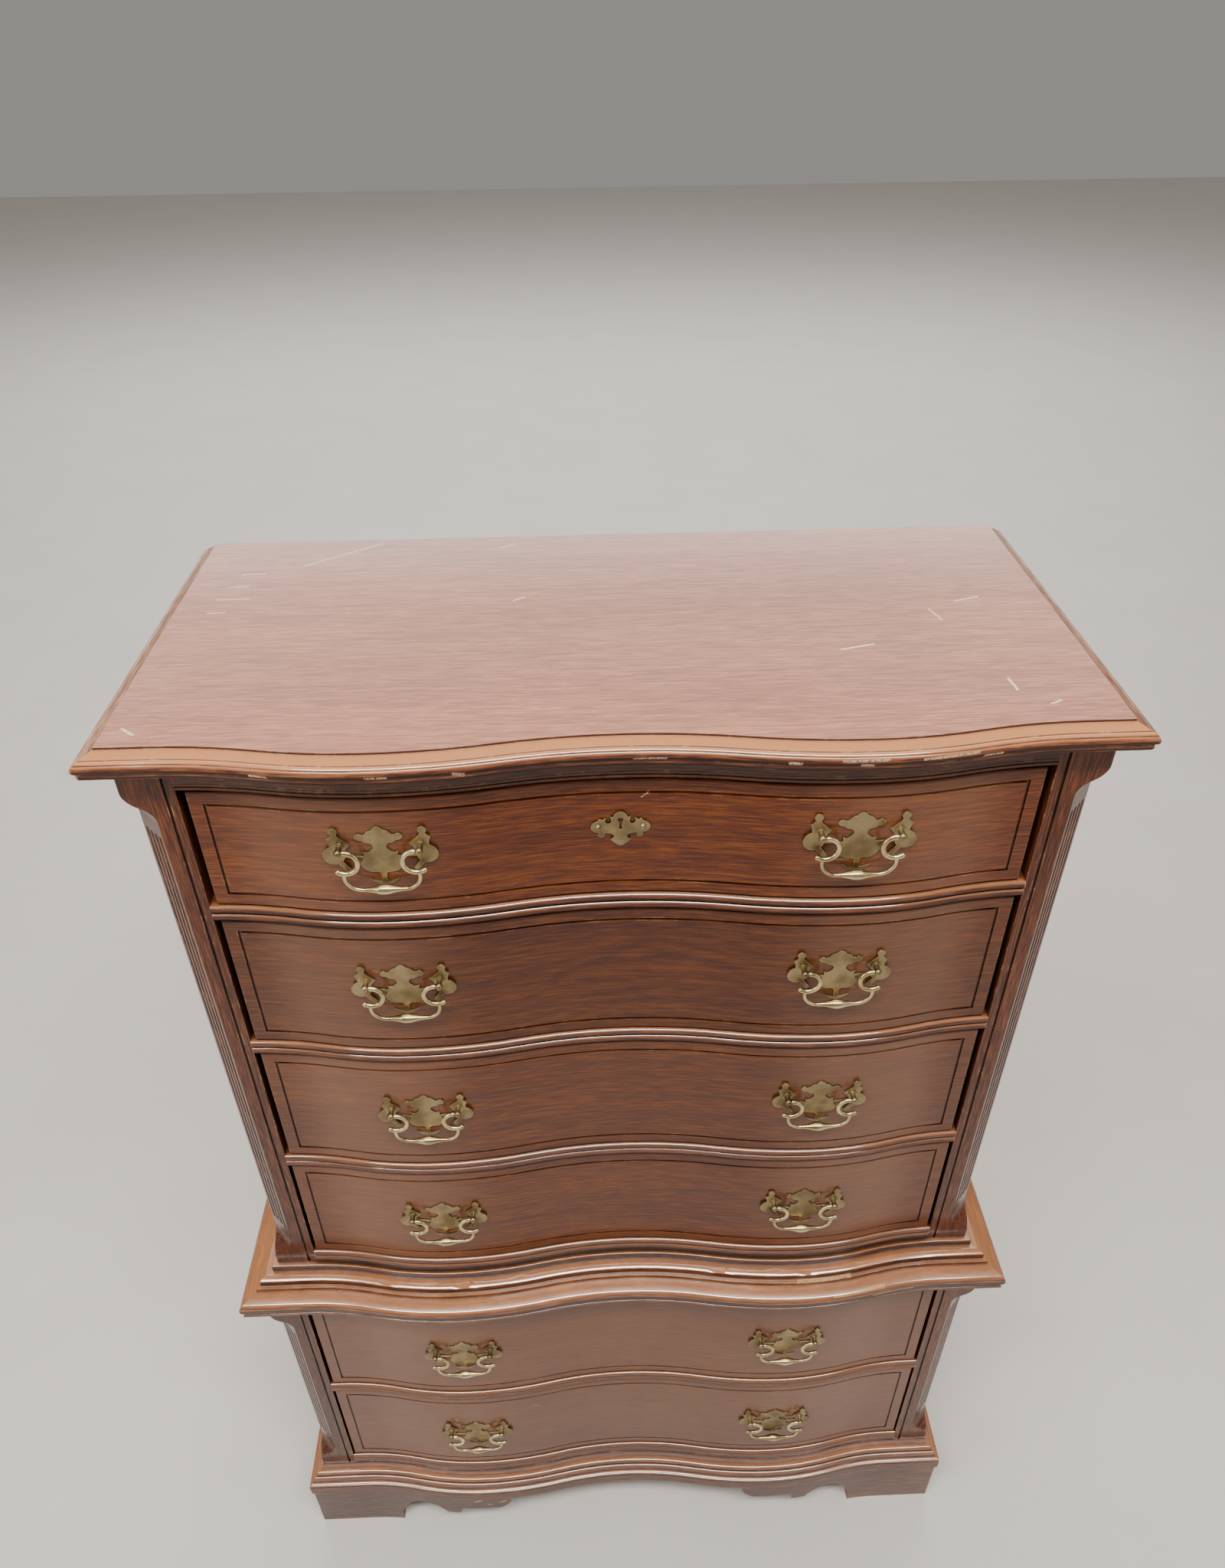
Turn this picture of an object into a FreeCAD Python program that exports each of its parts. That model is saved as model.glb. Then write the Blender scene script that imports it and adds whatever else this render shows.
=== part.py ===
import FreeCAD, Part
import math
import os

V = FreeCAD.Vector
UP = V(0, 0, 1)
RIGHT = V(1, 0, 0)
FORWARD = V(0, -1, 0)

# Serpentine chest on chest, millimetres.  x runs along the width, y from front
# to back with y = 0 at the front faces of the upper corner posts, z up from the
# floor.  "Out" is how far something stands outside the upper case, to the front
# or to a side.  The finished pieces are moved at the end so that the origin is
# the bottom centre of the whole chest.

# ---------------------------------------------------------------- case
OPENING_WIDTH = 822.0      # between the upper corner posts
POST_FACE = 51.5           # front face of a corner post
POST_DEPTH = 48.0          # corner post, front to back
CASE_DEPTH = 430.0         # front faces of the upper posts to the back of the chest
LOWER_STEP = 23.4          # the lower case stands out this far, front and sides
SIDE_THICK = 20.0
SIDE_TONGUE = 8.0          # tongue of a side in its post
TONGUE_THICK = 7.0
BACK_THICK = 8.0
BACK_REBATE = 10.0         # how far the back panel sits into each side
BOTTOM_BOARD = 15.0

SWELL_DEPTH = 19.8         # how far each of the two front swells stands out
SWELL_PEAK = 228.0         # centre line to the top of a swell
SWELL_RUN_OUT = 10.0       # the front runs straight from this far behind the posts' edges

FOOT_HEIGHT = 108.0
BASE_RAIL = 78.3           # lower case bottom rail, its beaded nose included
BLADE = 20.0               # drawer blade
DECK = 20.0                # board on top of the lower case
WAIST_RAIL = 80.5          # upper case bottom rail, its beaded nose included
TOP_RAIL = 30.0
TOP_THICK = 25.0
DRAWER_OPENINGS = {6: 209.5, 5: 211.2, 4: 186.7, 3: 187.0, 2: 181.4, 1: 142.4}

BLADE_DEPTH = 70.0         # blades, from the post faces backwards
RAIL_DEPTH = 34.0          # top and bottom rails, from the post faces backwards
NOSE_OUT = 2.6             # bead noses stand out past the post faces
NOSE_QUIRK = 1.4           # fillets beside the beads lie behind the post faces
NOSE_STRIP = 14.0
BEAD_FILLET = 0.4
TOP_BEADS = 8.6            # height of the small double bead under the top rail
TENON = 12.0
TENON_THICK = 9.0
TENON_FRONT = 16.0
TENON_WIDTH = 16.0

# ---------------------------------------------------------------- corner posts
CHAMFER = 27.0             # leg of the canted corner
STOP_SQUARE = 14.0         # square end of a post before the lamb's tongue
STOP_LENGTH = 37.5         # length of a lamb's tongue
FLUTES = 4
FLUTE_PITCH = 8.2
FLUTE_RADIUS = 3.0
FLUTE_DEPTH = 1.9
FLUTE_MARGIN = 19.0        # plain length between a lamb's tongue and the flutes
REED_STRIP = 7.8           # strip between the opening and the groove beside it
REED_GROOVE = 3.1
REED_DEPTH = 2.4

# ---------------------------------------------------------------- mouldings and feet
TOP_OVERHANG = 24.0        # nose of the top moulding
TOP_MARGIN = 6.7           # field of the top past the case
TOP_STEP = 2.0             # the moulding lies this far below the field
WAIST_HEIGHT = 57.0
WAIST_OUT = 47.8
WAIST_SHELF = 27.0         # upper tier of the waist moulding
WAIST_COLLAR = 6.8         # collar round the foot of the upper case
WAIST_BEAD = 3.0           # radius
BASE_HEIGHT = 54.0
BASE_OUT = 23.4            # base moulding past the lower case
BASE_BEAD = 2.2            # radius

FOOT_SETBACK = 2.6         # bracket faces behind the base moulding's fascia
FOOT_THICK = 26.0
FOOT_WIDTH = 134.7         # solid part of a foot on the floor
SPUR = 12.0                # spur beside the foot, sideways
SPUR_HEIGHT = 57.0
HOLLOW_WIDTH = 66.0        # arched hollow between the spur and the drop
SIDE_HOLLOW_WIDTH = 36.0
HOLLOW_HEIGHT = 78.0
DROP_WIDTH = 24.0          # small drop in the middle of the front bracket
DROP_HEIGHT = 52.5
APRON_HEIGHT = 70.0
APRON_LENGTH = 62.0
APRON_END = 20.0           # quarter round at the end of the apron
BACK_BRACKET = 150.0
BACK_BRACKET_THICK = 20.0

# ---------------------------------------------------------------- drawers
DRAWER_GAPS = {1: 8.0, 2: 6.5, 3: 6.5, 4: 4.0, 5: 4.5, 6: 3.0}
DRAWER_GAP_TOP = 2.2
DRAWER_GAP_FOOT = 0.5
DRAWER_SET_BACK = 1.6      # drawer faces behind the post faces
FRONT_THICK = 22.0
FRONT_LAP = 10.4           # wood left in front of the ends of the sides
FRONT_ROUND = 2.2
LINE_INSET = 13.5          # routed line, from the edges of a drawer front
LINE_WIDTH = 3.0
LINE_DEPTH = 2.0
DRAWER_SIDE = 12.0
DRAWER_ROOM = 14.0         # free space behind a drawer
SIDE_DROP = 10.0           # drawer sides below the top of the front
BOTTOM_THICK = 6.0
BOTTOM_LIFT = 10.0
BOTTOM_GROOVE = 5.0
RUNNER_LEDGE = 8.0         # runner past the inside of a drawer side
GUIDE_HEIGHT = 16.0
GUIDE_CLEARANCE = 1.5

# ---------------------------------------------------------------- brass
# pull posts above the middle of a drawer opening
PULL_RISE = {1: 14.7, 2: 15.5, 3: 11.0, 4: 8.0, 5: 12.0, 6: 6.0}
PULL_BORE = 76.2           # between the two posts of a pull
PLATE_THICK = 1.6
PLATE_CLEARANCE = 0.05
POST_REACH = 8.5           # plate face to the pins of the bail
POST_RADIUS = 3.0
COLLAR_RADIUS = 5.2
COLLAR_THICK = 1.6
HEAD_RADIUS = 3.9
SHANK_RADIUS = 2.2
SHANK_CLEARANCE = 0.1
NUT_RADIUS = 5.0
NUT_THICK = 3.0
PIN_RADIUS = 1.5
PIN_CLEARANCE = 0.08
PIN_PAST = 1.0             # bail pin past the middle of its post
BORE_PAST = 2.0            # its bore past the middle of the post
BAIL_CLEARANCE = 0.5       # shoulder of the bail to the head of its post
SCROLL_WIRE = 2.6          # radius
ARM_WIRE = 2.0             # radius
BAIL_DROP = 46.0
SCROLL_RADIUS = 12.7
SCROLL_TURN = 216.0
SCROLL_BRANCH = 187.0      # where the grip's arms leave the scrolls
GRIP_RADIUS = 5.2
GRIP_HALF = 20.0
GRIP_CREST = 5.0           # half of the grip's full middle
ESCUTCHEON_HALF = 28.5
ESCUTCHEON_RISE = 13.0     # escutcheon above the middle of the top drawer opening
ESCUTCHEON_PIN = 21.4
PIN_RISE = 2.0
KEYHOLE_RADIUS = 2.8
KEYHOLE_RISE = 10.0

# ---------------------------------------------------------------- derived places
HALF_UPPER = OPENING_WIDTH / 2
CASE_HALF = HALF_UPPER + POST_FACE
SWELL_END = HALF_UPPER + SWELL_RUN_OUT

Z_BASE_TOP = FOOT_HEIGHT + BASE_HEIGHT
Z6 = FOOT_HEIGHT + BASE_RAIL
Z5 = Z6 + DRAWER_OPENINGS[6] + BLADE
Z_DECK = Z5 + DRAWER_OPENINGS[5]
Z_WAIST = Z_DECK + DECK
Z4 = Z_WAIST + WAIST_RAIL
Z3 = Z4 + DRAWER_OPENINGS[4] + BLADE
Z2 = Z3 + DRAWER_OPENINGS[3] + BLADE
Z1 = Z2 + DRAWER_OPENINGS[2] + BLADE
Z_RAIL = Z1 + DRAWER_OPENINGS[1]
Z_TOP = Z_RAIL + TOP_RAIL
Z_FIELD = Z_TOP + TOP_THICK
FLOORS = {1: Z1, 2: Z2, 3: Z3, 4: Z4, 5: Z5, 6: Z6}
LOWER_DRAWERS = (5, 6)

FRONT_MOST = -(max(WAIST_OUT, LOWER_STEP + BASE_OUT, TOP_OVERHANG) + SWELL_DEPTH)
ORIGIN_Y = (FRONT_MOST + CASE_DEPTH) / 2
QUARTER = math.tan(math.radians(22.5)) / 2     # bulge of a quarter circle
HALF_ROUND = 0.5                               # bulge of a half circle


# ---------------------------------------------------------------- small helpers
def box(x0, x1, y0, y1, z0, z1):
    return Part.makeBox(x1 - x0, y1 - y0, z1 - z0, V(x0, y0, z0))


def rod(radius, start, end):
    axis = end - start
    return Part.makeCylinder(radius, axis.Length, start, axis)


def mirrored(shape):
    return shape.mirror(V(0, 0, 0), RIGHT)


def moved(shape, x, y, z):
    shape = shape.copy()
    shape.translate(V(x, y, z))
    return shape


def fused(shapes):
    return shapes[0].fuse(shapes[1:]).removeSplitter()


def drawn_edge(start, end, bulge, normal):
    """Line, or an arc that rises bulge times its chord; a positive bulge is convex."""
    if not bulge:
        return Part.makeLine(start, end)
    chord = end - start
    side = chord.cross(normal).normalize()
    middle = (start + end) * 0.5 + side * (bulge * chord.Length)
    return Part.Arc(start, middle, end).toShape()


def face_of(corners, bulges, normal):
    ends = corners[1:] + corners[:1]
    edges = [drawn_edge(a, b, bulge, normal) for a, b, bulge in zip(corners, ends, bulges)]
    return Part.Face(Part.Wire(edges))


def profile(points):
    """Section across the front from (out, up, bulge), clockwise, in the plane x = 0."""
    return face_of([V(0, -p[0], p[1]) for p in points], [p[2] for p in points], RIGHT)


def elevation(points):
    """Outline seen from the front from (x, z, bulge), anticlockwise, in the plane y = 0."""
    return face_of([V(p[0], 0, p[1]) for p in points], [p[2] for p in points], FORWARD)


# ---------------------------------------------------------------- serpentine front
def step_radius(length):
    """Radius of two equal arcs that step over length and SWELL_DEPTH."""
    return (length ** 2 + SWELL_DEPTH ** 2) / (4 * SWELL_DEPTH)


def flipped(vector):
    return V(-vector.x, vector.y, vector.z)


def serpentine():
    """Arcs of the front, left to right: centre, radius, sense, first and last normal.

    Normals point forwards.  The sense is 1 on a swell, whose centre is behind
    the front, and -1 in a hollow, whose centre is in front of it.
    """
    inner = SWELL_PEAK
    outer = SWELL_END - SWELL_PEAK
    r_in = step_radius(inner)
    r_out = step_radius(outer)
    lean_in = inner / 2 / r_in
    lean_out = outer / 2 / r_out
    n_in = V(-lean_in, -math.sqrt(1 - lean_in ** 2), 0)
    n_out = V(lean_out, -math.sqrt(1 - lean_out ** 2), 0)
    middle = (V(0, -r_in, 0), r_in, -1, flipped(n_in), n_in)
    right = [
        (V(SWELL_PEAK, r_in - SWELL_DEPTH, 0), r_in, 1, n_in, FORWARD),
        (V(SWELL_PEAK, r_out - SWELL_DEPTH, 0), r_out, 1, FORWARD, n_out),
        (V(SWELL_END, -r_out, 0), r_out, -1, n_out, FORWARD),
    ]
    left = [(flipped(centre), radius, sense, flipped(last), flipped(first))
            for centre, radius, sense, first, last in reversed(right)]
    return left + [middle] + right


ARCS = serpentine()


def on_arc(arc, normal, out):
    centre, radius, sense = arc[:3]
    return centre + normal * (sense * radius + out)


def bearing(normal):
    return math.degrees(math.atan2(normal.x, -normal.y))


def front_edges(out, reach):
    """Edges of the front curve at an offset, with straight ends to x = +-reach."""
    edges = [Part.makeLine(V(-reach, -out, 0), V(-SWELL_END, -out, 0))]
    for arc in ARCS:
        first, last = arc[3:]
        middle = (first + last).normalize()
        points = [on_arc(arc, normal, out) for normal in (first, middle, last)]
        edges.append(Part.Arc(*points).toShape())
    edges.append(Part.makeLine(V(SWELL_END, -out, 0), V(reach, -out, 0)))
    return edges


def bowed_board(out, back, half, z0, z1):
    """Board with a serpentine front edge and a straight back edge."""
    reach = max(half, SWELL_END) + SWELL_RUN_OUT
    rim = [V(reach, -out, 0), V(reach, back, 0), V(-reach, back, 0), V(-reach, -out, 0)]
    edges = front_edges(out, reach)
    edges += [Part.makeLine(a, b) for a, b in zip(rim[:-1], rim[1:])]
    board = Part.Face(Part.Wire(edges)).extrude(V(0, 0, z1 - z0))
    board.translate(V(0, 0, z0))
    return board.common(box(-half, half, -out - 2 * SWELL_DEPTH, back, z0, z1))


def bowed_sweep(section, half):
    """Sweep a section along the serpentine front and straight on to x = +-half."""
    pieces = []
    for arc in ARCS:
        first, last = arc[3:]
        start = section.copy()
        start.rotate(V(0, 0, 0), UP, bearing(first))
        start.translate(on_arc(arc, first, 0.0))
        pieces.append(start.revolve(arc[0], UP, bearing(last) - bearing(first)))
    reach = max(half, SWELL_END + SWELL_RUN_OUT)
    for x in (-reach, SWELL_END):
        pieces.append(moved(section, x, 0, 0).extrude(V(reach - SWELL_END, 0, 0)))
    solid = fused(pieces)
    if half < reach:
        b = solid.BoundBox
        solid = solid.common(box(-half, half, b.YMin - 1, b.YMax + 1, b.ZMin - 1, b.ZMax + 1))
    return solid


def band_section(out, thick, z0, z1):
    return profile([(out - thick, z0, 0), (out - thick, z1, 0), (out, z1, 0), (out, z0, 0)])


# ---------------------------------------------------------------- mouldings
def side_zone():
    """Everything on the right of the mitre line through the corners of the cases."""
    far = 2 * (CASE_HALF + CASE_DEPTH)
    near = CASE_HALF / 2
    corners = [V(CASE_HALF - near, near, 0), V(CASE_HALF + far, -far, 0),
               V(CASE_HALF + far, far, 0), V(CASE_HALF - near, far, 0)]
    zone = face_of(corners, [0, 0, 0, 0], UP).extrude(V(0, 0, 2 * Z_FIELD))
    return moved(zone, 0, 0, -Z_FIELD / 2)


SIDE_ZONE = side_zone()


def moulding_front(section):
    widest = CASE_HALF - 2 * section.BoundBox.YMin
    return bowed_sweep(section, widest).cut([SIDE_ZONE, mirrored(SIDE_ZONE)])


def side_sweep(section, y_end):
    """Sweep a section along the right side, mitred at the front corner."""
    start = section.copy()
    start.rotate(V(0, 0, 0), UP, 90)
    front = 2 * section.BoundBox.YMin
    start.translate(V(CASE_HALF, front, 0))
    return start.extrude(V(0, y_end - front, 0)).common(SIDE_ZONE)


def moulding_returns(section):
    right = side_sweep(section, CASE_DEPTH)
    return Part.makeCompound([right, mirrored(right)])


def top_profile():
    low = Z_TOP
    high = Z_FIELD - TOP_STEP
    out = TOP_OVERHANG
    return profile([
        (TOP_MARGIN, low, 0),
        (TOP_MARGIN, high, 0),
        (out - 6.4, high - 4.0, 0),
        (out - 5.8, high - 4.9, 0.2),
        (out - 1.4, high - 7.6, 0.22),
        (out - 0.9, high - 15.6, 0),
        (out - 2.6, high - 17.2, 0.12),
        (out - 3.2, low, 0),
    ])


def waist_profile():
    low = Z_WAIST
    high = low + WAIST_HEIGHT
    shelf = high - 19.5
    bead = low + 5.0
    return profile([
        (0, low, 0),
        (0, high, 0),
        (WAIST_COLLAR - 1.2, high, QUARTER),
        (WAIST_COLLAR, high - 1.2, 0),
        (WAIST_COLLAR, high - 9.0, 0),
        (WAIST_COLLAR + 5.0, high - 9.0, 0.1),
        (WAIST_SHELF - 5.3, high - 11.0, 0),
        (WAIST_SHELF - 5.3, shelf, 0),
        (WAIST_SHELF - 0.6, shelf - 0.8, 0),
        (WAIST_SHELF, shelf - 4.0, 0),
        (WAIST_SHELF + 1.0, high - 25.0, 0.05),
        (WAIST_OUT - 6.2, high - 28.5, 0.14),
        (WAIST_OUT, high - 35.0, 0.035),
        (WAIST_OUT - 1.5, high - 44.6, 0),
        (WAIST_OUT - 4.6, bead + WAIST_BEAD, 0),
        (WAIST_OUT - 4.6, bead + WAIST_BEAD - 0.4, HALF_ROUND),
        (WAIST_OUT - 4.6, bead - WAIST_BEAD + 0.4, 0),
        (WAIST_OUT - 5.8, low, 0),
    ])


def base_profile():
    low = FOOT_HEIGHT
    high = Z_BASE_TOP
    inner = LOWER_STEP
    out = LOWER_STEP + BASE_OUT
    bead = low + 22.4
    return profile([
        (inner, low, 0),
        (inner, high, 0),
        (inner + 1.0, high, -0.12),
        (inner + 6.8, high - 12.8, 0.2),
        (inner + 12.0, high - 17.0, 0),
        (inner + 12.0, high - 19.0, 0.22),
        (inner + 16.6, high - 21.6, 0),
        (inner + 17.6, high - 25.8, -0.18),
        (out - 3.1, bead + BASE_BEAD, 0),
        (out - 1.6, bead + BASE_BEAD, HALF_ROUND * 0.8),
        (out - 1.6, bead - BASE_BEAD, 0),
        (out, bead - BASE_BEAD, 0),
        (out, low, 0),
    ])


# ---------------------------------------------------------------- case pieces
def post_tool(front, z0, z1, square_foot, square_top):
    """What is cut from a post's outer front corner: the cant, its stops and the flutes."""
    depth = CHAMFER / math.sqrt(2)
    foot = z0 + square_foot
    top = z1 - square_top
    swing = math.tan(math.atan2(depth, STOP_LENGTH) / 2) / 2
    cant = profile([
        (0, foot, -swing),
        (-depth / 2, foot + STOP_LENGTH / 2, swing),
        (-depth, foot + STOP_LENGTH, 0),
        (-depth, top - STOP_LENGTH, swing),
        (-depth / 2, top - STOP_LENGTH / 2, -swing),
        (0, top, 0),
        (depth, top, 0),
        (depth, foot, 0),
    ])
    tools = [moved(cant, -2 * CHAMFER, 0, 0).extrude(V(4 * CHAMFER, 0, 0))]
    low = foot + STOP_LENGTH + FLUTE_MARGIN + FLUTE_RADIUS
    high = top - STOP_LENGTH - FLUTE_MARGIN - FLUTE_RADIUS
    half = elevation([
        (0, low - FLUTE_RADIUS, QUARTER),
        (FLUTE_RADIUS, low, 0),
        (FLUTE_RADIUS, high, QUARTER),
        (0, high + FLUTE_RADIUS, 0),
    ])
    flute = half.revolve(V(0, 0, 0), UP, 360)
    for i in range(FLUTES):
        x = (i - (FLUTES - 1) / 2) * FLUTE_PITCH
        tools.append(moved(flute, x, depth - FLUTE_RADIUS + FLUTE_DEPTH, 0))
    for tool in tools:
        tool.rotate(V(0, 0, 0), UP, 45)
        tool.translate(V(CASE_HALF - front, front, 0))
    return tools


def tenon(step, z_middle):
    """Stub tenon of a blade or rail in the right post."""
    end = HALF_UPPER + step + TENON
    front = TENON_FRONT - step
    return box(end - 2 * TENON, end, front, front + TENON_WIDTH,
               z_middle - TENON_THICK / 2, z_middle + TENON_THICK / 2)


def right_post(step, z0, z1, square_foot, square_top, tenons):
    inner = HALF_UPPER + step
    outer = CASE_HALF + step
    front = -step
    post = box(inner, outer, front, front + POST_DEPTH, z0, z1)
    post = post.cut(post_tool(front, z0, z1, square_foot, square_top))
    reed = inner + REED_STRIP
    cuts = [box(reed, reed + REED_GROOVE, front - 1, front + REED_DEPTH, z0, z1)]
    cuts += [tenon(step, z) for z in tenons]
    cuts.append(side_tongue(step, z0, z1))
    return post.cut(cuts)


def side_tongue(step, z0, z1):
    middle = CASE_HALF + step - SIDE_THICK / 2
    back = POST_DEPTH - step
    return box(middle - TONGUE_THICK / 2, middle + TONGUE_THICK / 2,
               back - SIDE_TONGUE, back, z0, z1)


def right_side(step, z0, z1):
    outer = CASE_HALF + step
    inner = outer - SIDE_THICK
    board = box(inner, outer, POST_DEPTH - step, CASE_DEPTH, z0, z1)
    board = fused([board, side_tongue(step, z0, z1)])
    return board.cut(back_panel(step, z0, z1))


def back_panel(step, z0, z1):
    half = CASE_HALF + step - SIDE_THICK + BACK_REBATE
    return box(-half, half, CASE_DEPTH - BACK_THICK, CASE_DEPTH, z0, z1)


def bottom_board(step):
    """Board under the lowest drawer, notched round the two front posts."""
    inner = CASE_HALF + step - SIDE_THICK
    z1 = FOOT_HEIGHT + BOTTOM_BOARD
    board = box(-inner, inner, RAIL_DEPTH - step, CASE_DEPTH - BACK_THICK, FOOT_HEIGHT, z1)
    notch = box(HALF_UPPER + step, CASE_HALF + step, -step, POST_DEPTH - step, FOOT_HEIGHT, z1)
    return board.cut([notch, mirrored(notch)])


def beaded_rail(step, depth, z0, z1, bead_low, bead_high):
    """Blade or rail with a serpentine face and two beads between two heights."""
    half = HALF_UPPER + step
    height = bead_high - bead_low
    bead = height / 4 - BEAD_FILLET
    quirk = step - NOSE_QUIRK
    bulge = min(HALF_ROUND, (NOSE_OUT + NOSE_QUIRK) * height / BLADE / (2 * bead))
    points = [(step - NOSE_STRIP, z0, 0), (step - NOSE_STRIP, z1, 0)]
    if bead_high < z1:
        points += [(step, z1, 0), (step, bead_high, 0)]
    points.append((quirk, bead_high, 0))
    for middle in (bead_high - height / 4, bead_low + height / 4):
        points += [(quirk, middle + bead, bulge), (quirk, middle - bead, 0)]
    points.append((quirk, bead_low, 0))
    if bead_low > z0:
        points += [(step, bead_low, 0), (step, z0, 0)]
    nose = bowed_sweep(profile(points), half)
    board = bowed_board(step - NOSE_STRIP / 2, depth - step, half, z0, z1)
    middle = (z0 + z1) / 2
    right = tenon(step, middle)
    return fused([board, nose, right, mirrored(right)])


def blade(number):
    step = drawer_step(number)
    low = FLOORS[number] - BLADE
    return beaded_rail(step, BLADE_DEPTH, low, low + BLADE, low, low + BLADE)


def runners():
    """A runner and a guide on each side of every drawer, between post and back panel."""
    solids = []
    for number, floor in FLOORS.items():
        step = drawer_step(number)
        edge = drawer_half(number)
        wall = CASE_HALF + step - SIDE_THICK
        back = CASE_DEPTH - BACK_THICK
        runner = box(edge - DRAWER_SIDE - RUNNER_LEDGE, wall, BLADE_DEPTH - step, back,
                     floor - BLADE, floor)
        guide = box(edge + GUIDE_CLEARANCE, wall, POST_DEPTH - step, back,
                    floor, floor + GUIDE_HEIGHT)
        solids += [runner, guide, mirrored(runner), mirrored(guide)]
    return Part.makeCompound(solids)


# ---------------------------------------------------------------- feet
def bracket_outline(hollow, with_drop):
    """Bracket foot seen from the front, its outer edge at x = 0 and going left."""
    inner = -FOOT_WIDTH - SPUR
    end = inner - hollow
    if with_drop:
        end -= DROP_WIDTH + APRON_LENGTH
    points = [
        (0, 0, 0),
        (0, FOOT_HEIGHT, 0),
        (end - APRON_END, FOOT_HEIGHT, 0),
        (end - APRON_END, FOOT_HEIGHT - 4.0, 0.2),
        (end, APRON_HEIGHT, 0),
    ]
    if with_drop:
        drop = end + APRON_LENGTH
        points += [
            (drop, APRON_HEIGHT, 0.1),
            (drop + 3.5, DROP_HEIGHT, 0),
            (drop + DROP_WIDTH, DROP_HEIGHT, -0.12),
        ]
    points += [
        (inner - hollow / 2, HOLLOW_HEIGHT, -0.16),
        (inner, SPUR_HEIGHT, 0),
        (inner + 2.0, SPUR_HEIGHT - 9.0, -0.12),
        (-FOOT_WIDTH, 0, 0),
    ]
    return elevation(points)


def bracket_block(hollow, with_drop):
    block = bracket_outline(hollow, with_drop).extrude(V(0, 4 * CASE_DEPTH, 0))
    return moved(block, 0, -2 * CASE_DEPTH, 0)


def foot_section():
    out = LOWER_STEP + BASE_OUT - FOOT_SETBACK
    return band_section(out, FOOT_THICK, 0, FOOT_HEIGHT)


def right_front_foot():
    out = LOWER_STEP + BASE_OUT - FOOT_SETBACK
    front = moulding_front(foot_section())
    front = front.common(moved(bracket_block(HOLLOW_WIDTH, True), CASE_HALF + out, 0, 0))
    side_block = bracket_block(SIDE_HOLLOW_WIDTH, False)
    side_block.rotate(V(0, 0, 0), UP, -90)
    side = side_sweep(foot_section(), CASE_DEPTH)
    side = side.common(moved(side_block, CASE_HALF, -out, 0))
    return Part.makeCompound([front, side])


def back_feet():
    out = LOWER_STEP + BASE_OUT - FOOT_SETBACK
    side_block = bracket_block(SIDE_HOLLOW_WIDTH, False)
    side_block.rotate(V(0, 0, 0), UP, 90)
    side = side_sweep(foot_section(), CASE_DEPTH)
    side = side.common(moved(side_block, CASE_HALF, CASE_DEPTH, 0))
    inner = CASE_HALF + out - FOOT_THICK
    board = box(inner - BACK_BRACKET, inner, CASE_DEPTH - BACK_BRACKET_THICK, CASE_DEPTH,
                0, FOOT_HEIGHT)
    return Part.makeCompound([side, board, mirrored(side), mirrored(board)])


# ---------------------------------------------------------------- drawers
def drawer_step(number):
    return LOWER_STEP if number in LOWER_DRAWERS else 0.0


def drawer_half(number):
    return HALF_UPPER + drawer_step(number) - DRAWER_GAPS[number]


def drawer_heights(number):
    floor = FLOORS[number]
    return floor + DRAWER_GAP_FOOT, floor + DRAWER_OPENINGS[number] - DRAWER_GAP_TOP


def face_out(number):
    return drawer_step(number) - DRAWER_SET_BACK


def pull_height(number):
    return FLOORS[number] + DRAWER_OPENINGS[number] / 2 + PULL_RISE[number]


def drawer_boards(number):
    """Sides, back and bottom of a drawer."""
    half = drawer_half(number)
    z0, z1 = drawer_heights(number)
    z1 -= SIDE_DROP
    front = FRONT_LAP - face_out(number)
    back = CASE_DEPTH - BACK_THICK - DRAWER_ROOM
    inner = half - DRAWER_SIDE
    bottom_low = z0 + BOTTOM_LIFT
    bottom_high = bottom_low + BOTTOM_THICK
    lap = face_out(number) - FRONT_THICK + BOTTOM_GROOVE
    bottom = bowed_board(lap, back, inner + BOTTOM_GROOVE, bottom_low, bottom_high)
    right = box(inner, half, front, back, z0, z1).cut(bottom)
    end = box(-inner, inner, back - DRAWER_SIDE, back, bottom_high, z1)
    return [mirrored(right), right, end, bottom]


def drawer_front(number, boards):
    half = drawer_half(number)
    z0, z1 = drawer_heights(number)
    face = face_out(number)
    back = face - FRONT_THICK
    section = profile([
        (back, z0, 0),
        (back, z1, 0),
        (face - FRONT_ROUND, z1, QUARTER),
        (face, z1 - FRONT_ROUND, 0),
        (face, z0 + FRONT_ROUND, QUARTER),
        (face - FRONT_ROUND, z0, 0),
    ])
    front = bowed_sweep(section, half)
    low = z0 + LINE_INSET
    high = z1 - LINE_INSET
    wide = half - LINE_INSET
    line = bowed_sweep(band_section(face + LINE_DEPTH, 2 * LINE_DEPTH, low, high), wide)
    far = CASE_DEPTH
    inside = box(-wide + LINE_WIDTH, wide - LINE_WIDTH, -far, far,
                 low + LINE_WIDTH, high - LINE_WIDTH)
    cuts = boards + [line.cut(inside)]
    for side in (-1, 1):
        for post in (-1, 1):
            x = side * SWELL_PEAK + post * PULL_BORE / 2
            start = V(x, plate_face(number), pull_height(number))
            cuts.append(rod(SHANK_RADIUS + SHANK_CLEARANCE, start,
                            start - FORWARD * (2 * FRONT_THICK)))
    return front.cut(cuts)


# ---------------------------------------------------------------- brass
def plate_face(number):
    """Front of the pull plates, which touch the tops of the swells."""
    return -face_out(number) - SWELL_DEPTH - PLATE_CLEARANCE - PLATE_THICK


def disc(radius, u, v):
    return Part.Face(Part.Wire(Part.makeCircle(radius, V(u, 0, v), FORWARD)))


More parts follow.
